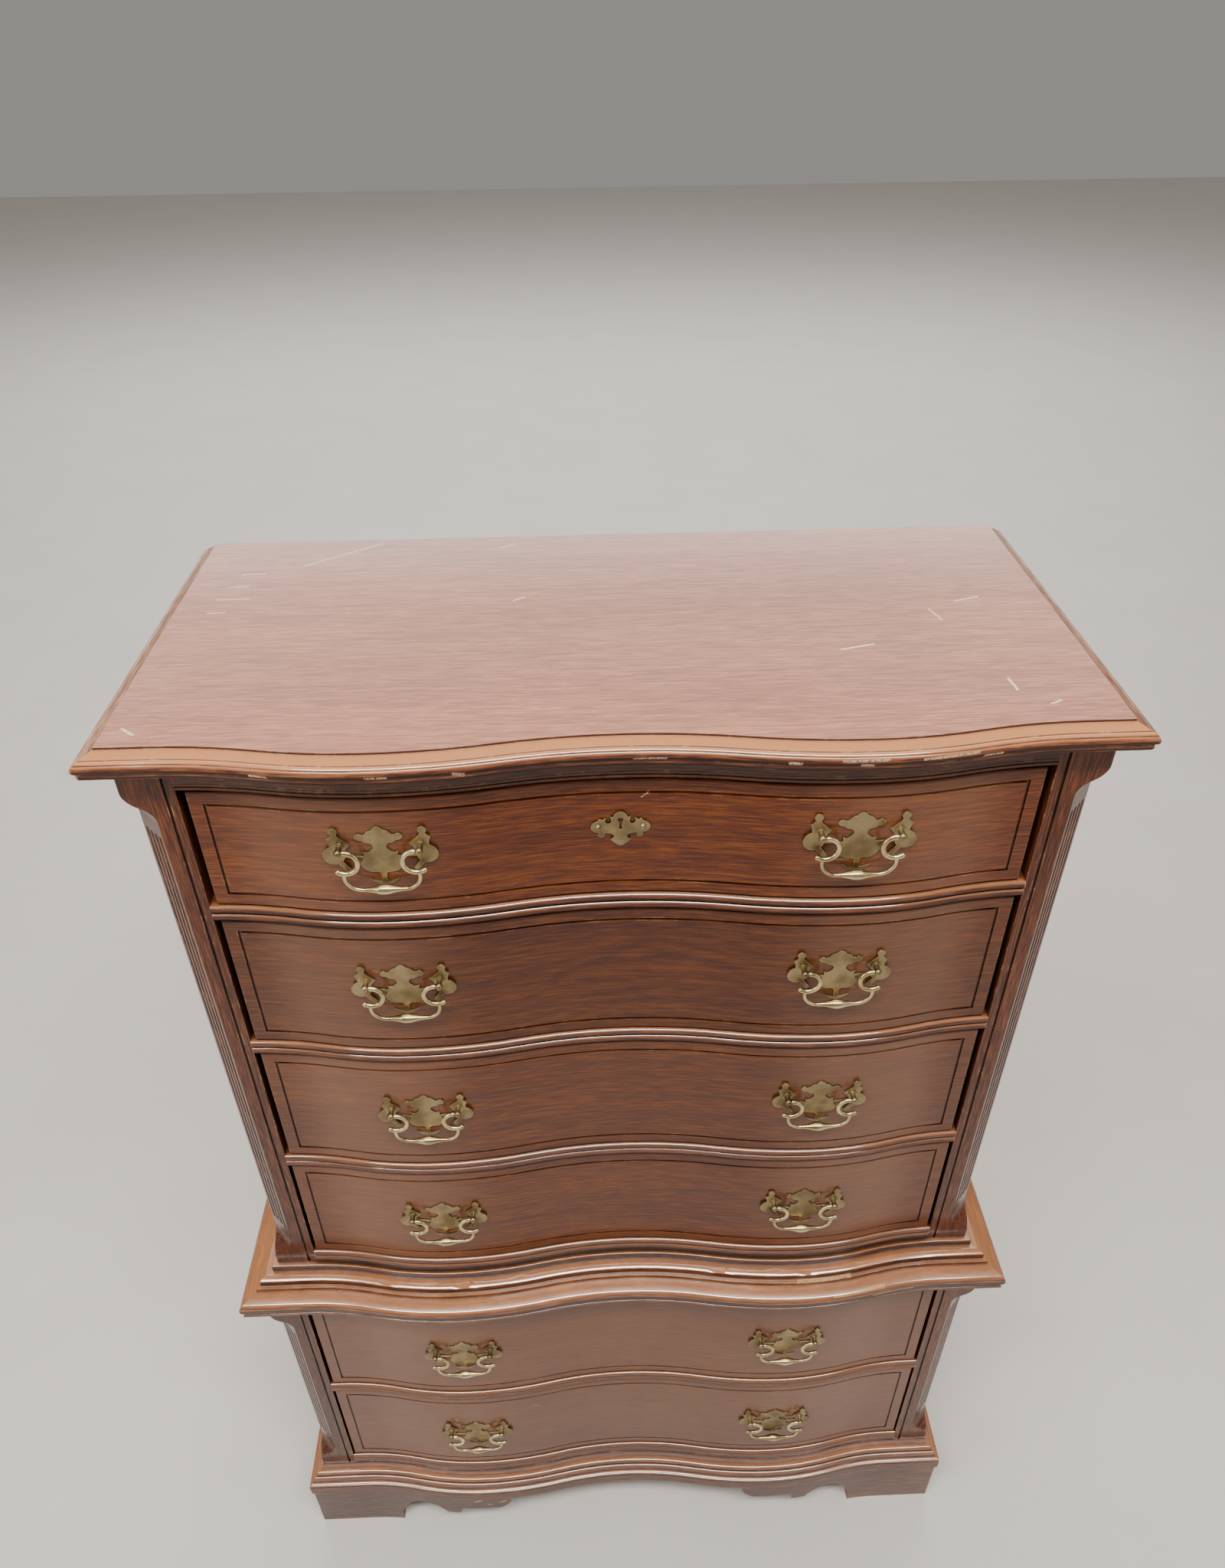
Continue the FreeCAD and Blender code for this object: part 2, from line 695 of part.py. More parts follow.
def strip(start, end, width):
    """Straight strip between two points of a plate."""
    a = V(start[0], 0, start[1])
    b = V(end[0], 0, end[1])
    side = (b - a).cross(FORWARD).normalize() * (width / 2)
    return Part.Face(Part.makePolygon([a + side, b + side, b - side, a - side, a + side]))


def slab(added, removed):
    """Brass plate from flat shapes, its back at y = 0."""
    added = [shape.extrude(FORWARD * PLATE_THICK) for shape in added]
    removed = [shape.extrude(FORWARD * PLATE_THICK) for shape in removed]
    return fused(added).cut(removed)


def both(shapes):
    return shapes + [mirrored(shape) for shape in shapes]


def pull_plate():
    """Pierced plate, its posts on the line z = 0."""
    post = PULL_BORE / 2
    half = [
        (2.6, -45.5, 0), (2.6, -33.5, -0.12), (6.0, -31.0, 0.21), (20.4, -20.5, -0.06),
        (15.8, -9.5, 0), (16.6, -4.6, -0.15), (12.8, -7.2, -0.15), (9.2, -4.6, -0.45),
        (11.8, 4.2, 0.05), (16.6, 7.6, 0.22), (22.6, 11.6, 0.22), (17.4, 15.2, -0.25),
        (11.8, 15.4, 0.12), (7.4, 19.0, -0.1), (4.8, 20.4, 0.34),
    ]
    pendant = elevation([(-14, -39, 0.29), (14, -39, -0.16)])
    wing = [
        disc(6.4, post, 0),
        disc(4.1, post + 3.4, 18.4),
        elevation([
            (27.6, 3.2, 0), (33.0, -2.5, 0), (post, -6.0, 0), (46.5, -1.0, -0.06),
            (48.8, 10.2, -0.1), (45.0, 13.4, -0.05), (43.6, 16.0, 0), (39.0, 16.0, -0.07),
            (37.0, 11.2, 0), (33.4, 8.0, -0.05),
        ]),
        disc(10.4, post + 6.0, -10.0),
        strip((40.0, -17.0), (33.0, -27.0), 5.2),
        disc(2.6, 33.0, -27.0),
        strip((16.5, -12.6), (36.0, -10.6), 2.6),
    ]
    added = [elevation(whole_outline(half)), pendant] + both(wing)
    holes = both([disc(SHANK_RADIUS + SHANK_CLEARANCE, post, 0)])
    return slab(added, holes)


def whole_outline(half):
    """Closed outline from its right half, listed upwards; the bulges follow their points."""
    left = []
    for i in range(len(half) - 1, 0, -1):
        left.append((-half[i][0], half[i][1], half[i - 1][2]))
    return half + left + [(-half[0][0], half[0][1], 0)]


def escutcheon():
    """Keyhole plate with a domed top, two arms and a pointed foot."""
    pin = ESCUTCHEON_PIN
    half = [
        (5.0, -18.6, 0.05), (9.8, -13.4, -0.15), (6.2, -9.6, -0.12), (9.4, -6.4, 0),
        (22.0, -4.6, 0), (24.0, 6.0, 0), (19.6, 12.4, -0.17), (17.2, 10.2, -0.1),
        (15.2, 12.2, 0), (14.2, 12.2, -0.05), (14.6, 8.6, -0.2), (11.6, 5.4, -0.2),
        (8.8, 8.8, 0), (9.6, 14.4, -0.12), (6.8, 13.4, 0.46),
    ]
    lobes = both([disc(6.6, ESCUTCHEON_HALF - 6.6, 1.6), disc(3.2, 18.6, -7.6)])
    added = [elevation(whole_outline(half)), disc(5.6, 0, -15.6)] + lobes
    hole = KEYHOLE_RADIUS
    removed = [disc(hole, 0, KEYHOLE_RISE), strip((0, KEYHOLE_RISE), (0, -1.4), hole)]
    removed += both([disc(SHANK_CLEARANCE + PIN_RADIUS, pin, PIN_RISE)])
    return slab(added, removed)


def pull_post(side):
    """Post, its head round the bail's pin at the origin; side is -1 on the left."""
    back = POST_REACH + PLATE_THICK + PLATE_CLEARANCE
    through = back + post_through()
    solids = [
        Part.makeSphere(HEAD_RADIUS),
        rod(POST_RADIUS, V(0, 0, 0), V(0, POST_REACH, 0)),
        rod(COLLAR_RADIUS, V(0, POST_REACH - COLLAR_THICK, 0), V(0, POST_REACH, 0)),
        rod(SHANK_RADIUS, V(0, POST_REACH / 2, 0), V(0, through, 0)),
    ]
    bore = rod(PIN_RADIUS + PIN_CLEARANCE, V(-2 * side * HEAD_RADIUS, 0, 0),
               V(side * BORE_PAST, 0, 0))
    return fused(solids).cut(bore)


def post_through():
    """Length of a post's shank behind the plate: the front at its posts and the nut."""
    reach = PULL_BORE / 2
    radius = step_radius(SWELL_END - SWELL_PEAK) - DRAWER_SET_BACK - FRONT_THICK
    bend = radius - math.sqrt(radius ** 2 - (reach + NUT_RADIUS) ** 2)
    return FRONT_THICK + bend + NUT_THICK


def nut():
    end = POST_REACH + PLATE_THICK + PLATE_CLEARANCE + post_through()
    start = V(0, end - NUT_THICK, 0)
    ring = rod(NUT_RADIUS, start, V(0, end, 0))
    return ring.cut(rod(SHANK_RADIUS, start, V(0, end, 0)))


def brass(number):
    y = plate_face(number)
    z = pull_height(number)
    plate = pull_plate()
    solids = []
    for pull in (-1, 1):
        x = pull * SWELL_PEAK
        solids.append(moved(plate, x, y + PLATE_THICK, z))
        for post in (-1, 1):
            place = (x + post * PULL_BORE / 2, y - POST_REACH, z)
            solids += [moved(pull_post(post), *place), moved(nut(), *place)]
    if number == 1:
        solids += escutcheon_set(number)
    return Part.makeCompound(solids)


def escutcheon_set(number):
    """Escutcheon across the hollow in the middle of a drawer front, and its pins."""
    radius = step_radius(SWELL_PEAK) - face_out(number)
    bridge = radius - math.sqrt(radius ** 2 - ESCUTCHEON_HALF ** 2)
    back = -face_out(number) - bridge - PLATE_CLEARANCE
    z = FLOORS[number] + DRAWER_OPENINGS[number] / 2 + ESCUTCHEON_RISE
    plate = moved(escutcheon(), 0, back, z)
    head = V(ESCUTCHEON_PIN, back - PLATE_THICK, z + PIN_RISE)
    pin = rod(PIN_RADIUS, head, head - FORWARD * (PLATE_THICK + PLATE_CLEARANCE))
    cap = Part.makeSphere(2 * PIN_RADIUS, head, FORWARD, 0, 90, 360)
    pin = fused([pin, cap])
    return [plate, pin, mirrored(pin)]


def bail():
    """Swing handle, its pins on the line y = z = 0, its middle at x = 0."""
    shoulder = PULL_BORE / 2 - HEAD_RADIUS - BAIL_CLEARANCE
    centre = V(shoulder, 0, -SCROLL_RADIUS)
    scroll = bent_wire(SCROLL_WIRE, V(shoulder, 0, 0), centre, SCROLL_TURN)
    pin = rod(PIN_RADIUS, V(shoulder, 0, 0), V(PULL_BORE / 2 + PIN_PAST, 0, 0))
    tip_angle = math.radians(90 + SCROLL_TURN)
    tip_place = centre + V(math.cos(tip_angle), 0, math.sin(tip_angle)) * SCROLL_RADIUS
    tip_axis = V(-math.sin(tip_angle), 0, math.cos(tip_angle))
    tip = Part.makeSphere(SCROLL_WIRE, tip_place, tip_axis, 0, 90, 360)
    branch_angle = math.radians(90 + SCROLL_BRANCH)
    branch = centre + V(math.cos(branch_angle), 0, math.sin(branch_angle)) * SCROLL_RADIUS
    end = V(GRIP_HALF, 0, -BAIL_DROP)
    across = branch.x - end.x
    rise = branch.z - end.z
    radius = (across ** 2 + rise ** 2) / (2 * rise)
    turn = math.degrees(math.atan2(across, radius - rise))
    arm = bent_wire(ARM_WIRE, end, end + UP * radius, turn)
    grip = elevation([
        (-GRIP_HALF, 0, 0),
        (GRIP_HALF, 0, 0),
        (GRIP_HALF, ARM_WIRE, -0.03),
        (GRIP_CREST, GRIP_RADIUS - 0.4, 0.04),
        (-GRIP_CREST, GRIP_RADIUS - 0.4, -0.03),
        (-GRIP_HALF, ARM_WIRE, 0),
    ]).revolve(V(0, 0, 0), RIGHT, 360)
    return fused([moved(grip, 0, 0, -BAIL_DROP)] + both([scroll, pin, tip, arm]))


def bent_wire(radius, start, centre, turn):
    """Round wire that leaves start along x and turns anticlockwise about centre."""
    section = Part.Face(Part.Wire(Part.makeCircle(radius, start, RIGHT)))
    return section.revolve(centre, FORWARD, turn)


# ---------------------------------------------------------------- the whole chest
def case_parts():
    lower = LOWER_STEP
    top = top_profile()
    waist = waist_profile()
    base = base_profile()
    upper_tenons = [Z_RAIL + TOP_RAIL / 2, Z_WAIST + WAIST_RAIL / 2]
    upper_tenons += [FLOORS[number] - BLADE / 2 for number in (1, 2, 3)]
    upper_post = right_post(0.0, Z_WAIST, Z_TOP, WAIST_HEIGHT + STOP_SQUARE, TOP_RAIL,
                            upper_tenons)
    lower_post = right_post(lower, FOOT_HEIGHT, Z_DECK, BASE_HEIGHT + STOP_SQUARE, STOP_SQUARE,
                            [FOOT_HEIGHT + BASE_RAIL / 2, Z5 - BLADE / 2])
    upper_side = right_side(0.0, Z_WAIST, Z_TOP)
    lower_side = right_side(lower, FOOT_HEIGHT, Z_DECK)
    foot = right_front_foot()
    return {
        "top_panel": bowed_board(TOP_MARGIN, CASE_DEPTH, CASE_HALF + TOP_MARGIN, Z_TOP, Z_FIELD),
        "top_moulding_front": moulding_front(top),
        "top_moulding_returns": moulding_returns(top),
        "upper_side_left": mirrored(upper_side),
        "upper_side_right": upper_side,
        "upper_post_left": mirrored(upper_post),
        "upper_post_right": upper_post,
        "upper_back": back_panel(0.0, Z_WAIST, Z_TOP),
        "upper_top_rail": beaded_rail(0.0, RAIL_DEPTH, Z_RAIL, Z_TOP, Z_RAIL, Z_RAIL + TOP_BEADS),
        "upper_blade_1": blade(1),
        "upper_blade_2": blade(2),
        "upper_blade_3": blade(3),
        "upper_bottom_rail": beaded_rail(0.0, RAIL_DEPTH, Z_WAIST, Z4, Z4 - BLADE, Z4),
        "drawer_runners": runners(),
        "waist_moulding_front": moulding_front(waist),
        "waist_moulding_returns": moulding_returns(waist),
        "lower_deck": bowed_board(lower, CASE_DEPTH, CASE_HALF + lower, Z_DECK, Z_WAIST),
        "lower_side_left": mirrored(lower_side),
        "lower_side_right": lower_side,
        "lower_post_left": mirrored(lower_post),
        "lower_post_right": lower_post,
        "lower_back": back_panel(lower, FOOT_HEIGHT, Z_DECK),
        "lower_blade": blade(5),
        "lower_bottom_rail": beaded_rail(lower, RAIL_DEPTH, FOOT_HEIGHT, Z6, Z6 - BLADE, Z6),
        "lower_bottom": bottom_board(lower),
        "base_moulding_front": moulding_front(base),
        "base_moulding_returns": moulding_returns(base),
        "front_foot_left": mirrored(foot),
        "front_foot_right": foot,
        "back_feet": back_feet(),
    }


def drawer_parts():
    parts = {}
    handle = bail()
    for number in FLOORS:
        boards = drawer_boards(number)
        name = "drawer_%d_" % number
        parts[name + "front"] = drawer_front(number, boards)
        parts[name + "box"] = Part.makeCompound(boards)
        parts[name + "brass"] = brass(number)
        y = plate_face(number) - POST_REACH
        z = pull_height(number)
        parts[name + "bail_left"] = moved(handle, -SWELL_PEAK, y, z)
        parts[name + "bail_right"] = moved(handle, SWELL_PEAK, y, z)
    return parts


def main():
    parts = case_parts()
    parts.update(drawer_parts())
    os.makedirs("parts", exist_ok=True)
    for name, shape in parts.items():
        placed = moved(shape, 0, -ORIGIN_Y, 0)
        placed.exportStep("parts/%s.step" % name)
        size = placed.BoundBox
        print("%-24s %2d solids, valid %s, volume %9.0f, x %.1f..%.1f y %.1f..%.1f z %.1f..%.1f"
              % (name, len(placed.Solids), placed.isValid(), placed.Volume, size.XMin,
                 size.XMax, size.YMin, size.YMax, size.ZMin, size.ZMax))


main()
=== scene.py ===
import math

import bpy
from mathutils import Matrix, Vector

# Serpentine chest on chest in worn mahogany with antiqued brass pulls.
# Metres; x to the right, y to the back, z up, the floor at z = 0.

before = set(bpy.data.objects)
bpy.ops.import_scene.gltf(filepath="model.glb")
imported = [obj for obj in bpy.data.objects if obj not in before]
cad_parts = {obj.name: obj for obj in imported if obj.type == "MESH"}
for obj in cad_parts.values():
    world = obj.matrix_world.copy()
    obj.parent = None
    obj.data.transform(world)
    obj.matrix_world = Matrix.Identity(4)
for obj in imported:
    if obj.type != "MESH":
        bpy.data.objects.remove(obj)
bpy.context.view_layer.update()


# ---------------------------------------------------------------- shader sheets
class Value:
    """An output socket that takes part in Python arithmetic."""

    def __init__(self, sheet, socket):
        self.sheet = sheet
        self.socket = socket

    def maths(self, operation, *others, clamp=False):
        return self.sheet.add("ShaderNodeMath", operation=operation, use_clamp=clamp,
                              sockets=dict(enumerate((self,) + others)))

    def __add__(self, other):
        return self.maths("ADD", other)

    __radd__ = __add__

    def __sub__(self, other):
        return self.maths("SUBTRACT", other)

    def __rsub__(self, other):
        return (self * -1.0).maths("ADD", other)

    def __mul__(self, other):
        return self.maths("MULTIPLY", other)

    def __truediv__(self, other):
        return self.maths("DIVIDE", other)

    def absolute(self):
        return self.maths("ABSOLUTE")

    def larger(self, other):
        return self.maths("MAXIMUM", other)

    def held(self):
        """Kept between 0 and 1."""
        return self.maths("ADD", 0.0, clamp=True)

    def between(self, low, high):
        """0 at low and below, 1 at high and above, smooth in between."""
        return self.sheet.add("ShaderNodeMapRange", interpolation_type="SMOOTHSTEP",
                              sockets={"Value": self, "From Min": low, "From Max": high})


class Sheet:
    """The nodes of one material."""

    def __init__(self, name):
        self.material = bpy.data.materials.new(name)
        self.material.use_nodes = True
        self.tree = self.material.node_tree
        self.tree.nodes.clear()
        self.place = self.add("ShaderNodeTexCoord", output="Object")

    def add(self, kind, sockets=(), output=0, **settings):
        """A new node; sockets gives its inputs, as numbers, colours or Values."""
        node = self.tree.nodes.new(kind)
        for key, value in settings.items():
            setattr(node, key, value)
        for key, value in dict(sockets).items():
            if isinstance(value, Value):
                self.tree.links.new(value.socket, node.inputs[key])
            else:
                node.inputs[key].default_value = value
        return Value(self, node.outputs[output]) if len(node.outputs) else None

    def part(self, axis):
        """The place along one axis of the piece, in metres."""
        return self.add("ShaderNodeSeparateXYZ", {"Vector": self.place}, output="XYZ".index(axis))

    def stretched(self, scale):
        return self.add("ShaderNodeVectorMath", {0: self.place, 1: scale}, operation="MULTIPLY")

    def noise(self, scale, detail=3.0, roughness=0.55, distortion=0.0):
        """Noise from 0 to 1; scale is its cells per metre along x, y and z."""
        return self.add("ShaderNodeTexNoise", {
            "Vector": self.stretched(scale), "Scale": 1.0, "Detail": detail,
            "Roughness": roughness, "Distortion": distortion})

    def blend(self, factor, first, second):
        """The first colour where factor is 0, the second where it is 1."""
        return self.add("ShaderNodeMix", {0: factor, 6: first, 7: second}, output=2,
                        data_type="RGBA")

    def edges(self, radius):
        """1 on outside and inside edges, 0 on flats."""
        soft = self.add("ShaderNodeBevel", {"Radius": radius}, samples=6)
        hard = self.add("ShaderNodeNewGeometry", output="Normal")
        along = self.add("ShaderNodeVectorMath", {0: soft, 1: hard}, output="Value",
                         operation="DOT_PRODUCT")
        return (1.0 - along).between(0.004, 0.16)

    def facing(self, axis):
        """Part of the surface's normal along an axis: 1 on a face that looks along it."""
        normal = self.add("ShaderNodeNewGeometry", output="Normal")
        return self.add("ShaderNodeSeparateXYZ", {"Vector": normal}, output=axis)

    def shelter(self, distance):
        """1 in narrow gaps and corners, 0 in the open."""
        open_sky = self.add("ShaderNodeAmbientOcclusion", {"Distance": distance},
                            output="AO", samples=6)
        return 1.0 - open_sky

    def finish(self, colour, roughness, height=None, depth=0.0002, soften=0.0008, **extras):
        """The material; soften rounds its edges, height and depth make its relief."""
        normal = self.add("ShaderNodeBevel", {"Radius": soften}, samples=4)
        if height is not None:
            normal = self.add("ShaderNodeBump", {"Height": height, "Distance": depth,
                                                 "Strength": 1.0, "Normal": normal})
        sockets = {"Base Color": colour, "Roughness": roughness, "Normal": normal}
        sockets.update(extras)
        skin = self.add("ShaderNodeBsdfPrincipled", sockets)
        self.add("ShaderNodeOutputMaterial", {"Surface": skin})
        return self.material


SCREEN_FULL = 255.0
SCREEN_GAMMA = 2.2


def tint(red, green, blue):
    """Colour from its 0-255 screen values."""
    return tuple((channel / SCREEN_FULL) ** SCREEN_GAMMA
                 for channel in (red, green, blue)) + (1.0,)


# ---------------------------------------------------------------- wood
BARE_WOOD = tint(206, 158, 118)
# Painted light: pale tan for the light and reflection that faces looking up catch from above.
UPLIGHT_TAN = tint(216, 143, 90)
# Painted shade: dark brown for the faces that look down.
UNDERSIDE_SHADE = tint(38, 15, 8)
# Painted shade: dark brown for the upright faces, standing in for the shaded step round the top's
# field.
UPRIGHT_SHADE = tint(62, 34, 26)
# Painted shade, with the old finish that gathers there: near black for gaps, grooves and corners.
SHADE_AND_GRIME = tint(20, 11, 8)
# Painted shade: dark brown for the corners of plain boards.
CORNER_SHADE = tint(60, 42, 28)

SHADE_AND_GRIME_REACH = 0.010
WORN_RIM = 0.0028
PORE_DEPTH = 0.00010
BARE_SHEEN = 0.18


def grain_scale(axis, along, across, skip=None):
    """Noise scale that runs along one axis and is narrow across the others."""
    scale = [across, across, across]
    scale["xyz".index(axis)] = along
    if skip:
        scale["xyz".index(skip)] = along
    return tuple(scale)


def mahogany(name, axis, dark, middle, light, skip=None, roughness=0.34, wear=0.5,
             coat=0.5, gloss=0.14, reflection_veil=None, figure=None, marks=(), scar=BARE_WOOD,
             painted_uplight=0.0, underside_shade=0.0, shade_and_grime_span=(0.34, 0.70), shade_and_grime_where=None, varnish=1.5,
             upright_shade=0.0):
    """Old polished mahogany.

    axis is the grain's axis, skip an axis across which the grain doesn't change.
    veil lays painted reflection, a pale haze for the surroundings seen in the varnish;
    figure bends the grain, marks are scratches of colour scar.  bleach is painted light:
    it turns the faces that look up paler tan.  under is painted shade: it darkens the faces
    that look down, and it also dulls their varnish.  grime is where the darkening of gaps
    and corners starts and is full, painted shade with the old finish that gathers there;
    upright_shade is painted shade that darkens the upright faces, and wear is how bare the edges
    are.  coat, gloss and varnish are the varnish's strength, roughness and index of refraction.
    """
    sheet = Sheet(name)
    cloud = sheet.noise(grain_scale(axis, 1.4, 7.0, skip), detail=2.0).between(0.34, 0.66)
    bands = sheet.noise(grain_scale(axis, 2.0, 52.0, skip), detail=3.0,
                        distortion=0.5).between(0.36, 0.64)
    streaks = sheet.noise(grain_scale(axis, 9.0, 260.0, skip), detail=4.0,
                          roughness=0.6).between(0.36, 0.64)
    flecks = sheet.noise(grain_scale(axis, 34.0, 640.0, skip), detail=3.0).between(0.36, 0.64)
    pores = sheet.noise(grain_scale(axis, 60.0, 1300.0, skip), detail=2.0)
    tone = cloud * 0.18 + bands * 0.12 + streaks * 0.22 + flecks * 0.48
    if figure:
        tone = figure(sheet, tone)
    body = sheet.blend(tone.between(0.16, 0.54), dark, middle)
    body = sheet.blend(tone.between(0.46, 0.90), body, light)
    body = sheet.blend(pores.between(0.55, 0.66) * 0.6, body, dark)
    # Painted reflection: a pale haze laid over the wood.
    if reflection_veil:
        body = reflection_veil(sheet, body)
    # Painted light: faces that look up turn paler tan.
    if painted_uplight:
        body = sheet.blend(sheet.facing("Z").between(0.30, 0.95) * painted_uplight, body, UPLIGHT_TAN)
    shine = coat
    # Painted shade: faces that look down are darkened; their varnish is also dulled.
    if underside_shade:
        down = sheet.facing("Z") * -1.0
        body = sheet.blend(down.between(-0.25, 0.35) * underside_shade, body, UNDERSIDE_SHADE)
        shine = (1.0 - down.between(-0.45, 0.20)) * coat
    # Painted shade: upright faces are darkened.
    if upright_shade:
        upright = 1.0 - sheet.facing("Z").absolute()
        body = sheet.blend(upright.between(0.3, 0.7) * upright_shade, body, UPRIGHT_SHADE)
    # Painted shade, with the old finish that gathers there: gaps, grooves and corners are
    # darkened by how enclosed they are.
    shade = sheet.shelter(SHADE_AND_GRIME_REACH)
    shade_and_grime = shade.between(*shade_and_grime_span)
    if shade_and_grime_where:
        shade_and_grime = shade_and_grime * shade_and_grime_where(sheet)
    body = sheet.blend(shade_and_grime, body, SHADE_AND_GRIME)
    rim = sheet.edges(WORN_RIM)
    chips = sheet.noise((38.0, 38.0, 38.0), detail=5.0, roughness=0.72).between(0.55, 0.61)
    rub = sheet.noise((5.0, 5.0, 5.0), detail=2.0).between(0.42, 0.70)
    open_face = (1.0 - shade).between(0.55, 0.85)
    bare = (rim * open_face * (chips * 0.9 + rub * 0.30) * wear).held()
    body = sheet.blend(bare, body, BARE_WOOD)
    for mark in marks:
        body = sheet.blend(mark(sheet), body, scar)
    polish = roughness + streaks * 0.08 + bare * 0.25
    return sheet.finish(body, polish, streaks * 0.6 + pores * 0.6, depth=PORE_DEPTH,
                        **{"Coat Weight": shine, "Coat Roughness": gloss,
                           "Coat IOR": varnish, "Specular IOR Level": BARE_SHEEN})


def reflection_haze(amount, colour):
    """Painted reflection: an uneven pale haze over the whole surface, for the surroundings
    reflected in the varnish.
    """
    def laid(sheet, body):
        reflected_haze = sheet.noise((6.0, 9.0, 6.0), detail=4.0).between(0.25, 0.75)
        return sheet.blend(reflected_haze * 0.25 * amount + amount * 0.75, body, colour)
    return laid


def swell_reflection(amount, colour):
    """Painted reflection: paler, greyer colour on the swelling parts of a front, less in its
    middle and at its ends.
    """
    def laid(sheet, body):
        side = sheet.part("X").absolute()
        swell = side.between(0.14, 0.26) * (1.0 - side.between(0.33, 0.39) * 0.85)
        return sheet.blend(swell * amount, body, colour)
    return laid


def crown_figure(x, z, across, high):
    """Nested arches of grain round one place of a front."""
    def bent(sheet, tone):
        u = (sheet.part("X") - x) / across
        v = (sheet.part("Z") - z) / high
        near = 1.0 - (u * u + v * v).between(0.15, 1.0)
        wander = sheet.noise((9.0, 2.0, 22.0), detail=2.0)
        rings = ((u * u * 1.6 + v * 2.6 + wander * 1.6) * 9.0).maths("SINE") * 0.5 + 0.5
        return tone * (1.0 - near * 0.25) + rings * near * 0.22
    return bent


def scratch(axes, start, end, width, strength):
    """Mark along a straight line in the plane of two axes, metres."""
    def drawn(sheet):
        u = sheet.part(axes[0])
        v = sheet.part(axes[1])
        run = (end[0] - start[0], end[1] - start[1])
        length = math.hypot(*run)
        du = u - start[0]
        dv = v - start[1]
        ahead = (du * run[0] + dv * run[1]) / length
        aside = (du * run[1] - dv * run[0]) / length
        past = (ahead - length).larger(ahead * -1.0)
        rough = sheet.noise((700.0, 700.0, 700.0), detail=1.0).between(0.35, 0.5)
        return (1.0 - (aside.absolute() / width).larger(past / width).between(0.6, 1.0)) \
            * rough * strength
    return drawn


def scratches(axes, *lines):
    """One scratch for each line: start, end, width and strength."""
    return [scratch(axes, *line) for line in lines]


top_marks = scratches(
    "XY",
    ((-0.350, 0.180), (-0.268, 0.237), 0.0010, 0.9),
    ((0.229, -0.047), (0.262, -0.038), 0.0016, 1.0),
    ((0.345, 0.010), (0.338, 0.034), 0.0015, 0.8),
    ((0.372, 0.052), (0.398, 0.060), 0.0015, 0.8),
    ((-0.417, 0.160), (-0.392, 0.161), 0.0014, 0.8),
    ((-0.424, 0.128), (-0.404, 0.130), 0.0013, 0.7),
    ((-0.430, 0.098), (-0.396, 0.099), 0.0013, 0.8),
    ((-0.432, 0.066), (-0.415, 0.067), 0.0013, 0.7),
    ((-0.125, 0.218), (-0.110, 0.226), 0.0013, 0.7),
    ((-0.105, 0.079), (-0.094, 0.086), 0.0014, 0.8),
    ((0.376, -0.112), (0.378, -0.132), 0.0018, 0.9),
    ((0.402, -0.158), (0.412, -0.153), 0.0016, 0.8),
    ((-0.452, -0.158), (-0.440, -0.168), 0.0018, 0.8))
edge_marks = scratches(
    "XZ",
    ((-0.326, 1.5235), (-0.314, 1.5228), 0.0026, 0.95),
    ((-0.224, 1.5240), (-0.207, 1.5240), 0.0016, 0.8),
    ((-0.147, 1.5225), (-0.141, 1.5212), 0.0030, 0.9),
    ((0.012, 1.5238), (0.040, 1.5244), 0.0016, 0.6),
    ((0.150, 1.5245), (0.158, 1.5240), 0.0024, 0.9),
    ((0.196, 1.5275), (0.236, 1.5285), 0.0014, 0.55),
    ((0.214, 1.5225), (0.222, 1.5222), 0.0026, 0.9),
    ((0.268, 1.5270), (0.318, 1.5285), 0.0013, 0.55),
    ((0.326, 1.5228), (0.340, 1.5232), 0.0026, 0.9))
waist_marks = scratches(
    "XZ",
    ((0.230, 0.683), (0.300, 0.684), 0.0018, 0.6),
    ((0.276, 0.674), (0.345, 0.675), 0.0015, 0.5),
    ((0.330, 0.666), (0.384, 0.667), 0.0020, 0.5),
    ((-0.420, 0.640), (-0.386, 0.640), 0.0018, 0.5),
    ((0.492, 0.644), (0.506, 0.643), 0.0050, 0.9))
drawer_marks = scratches(
    "XZ",
    ((0.020, 1.462), (0.029, 1.469), 0.0007, 0.8),
    ((-0.143, 0.352), (-0.128, 0.349), 0.0006, 0.5))
foot_marks = scratches(
    "XZ",
    ((-0.246, 0.094), (-0.236, 0.098), 0.0022, 0.9),
    ((-0.205, 0.090), (-0.197, 0.093), 0.0018, 0.9),
    ((-0.226, 0.084), (-0.219, 0.083), 0.0016, 0.8),
    ((-0.506, 0.001), (-0.372, 0.001), 0.0022, 0.7),
    ((0.372, 0.001), (0.506, 0.001), 0.0022, 0.7))


RED_BROWN = (tint(70, 29, 3), tint(94, 42, 4), tint(118, 62, 11))
# Painted reflection: pale grey for the drawer fronts.
PALE_REFLECTION = tint(150, 108, 82)


def shades(scale, dark, middle, light):
    """Three wood colours, all made darker or lighter together."""
    return {name: tuple(channel * scale for channel in colour[:3]) + (1.0,)
            for name, colour in (("dark", dark), ("middle", middle), ("light", light))}


def line_shade_and_grime(sheet):
    """Darkening of the routed line, painted shade with the old finish that gathers there: full in
    its upright parts, thin in its level parts.
    """
    return sheet.part("X").absolute().between(0.368, 0.382) * 0.75 + 0.25


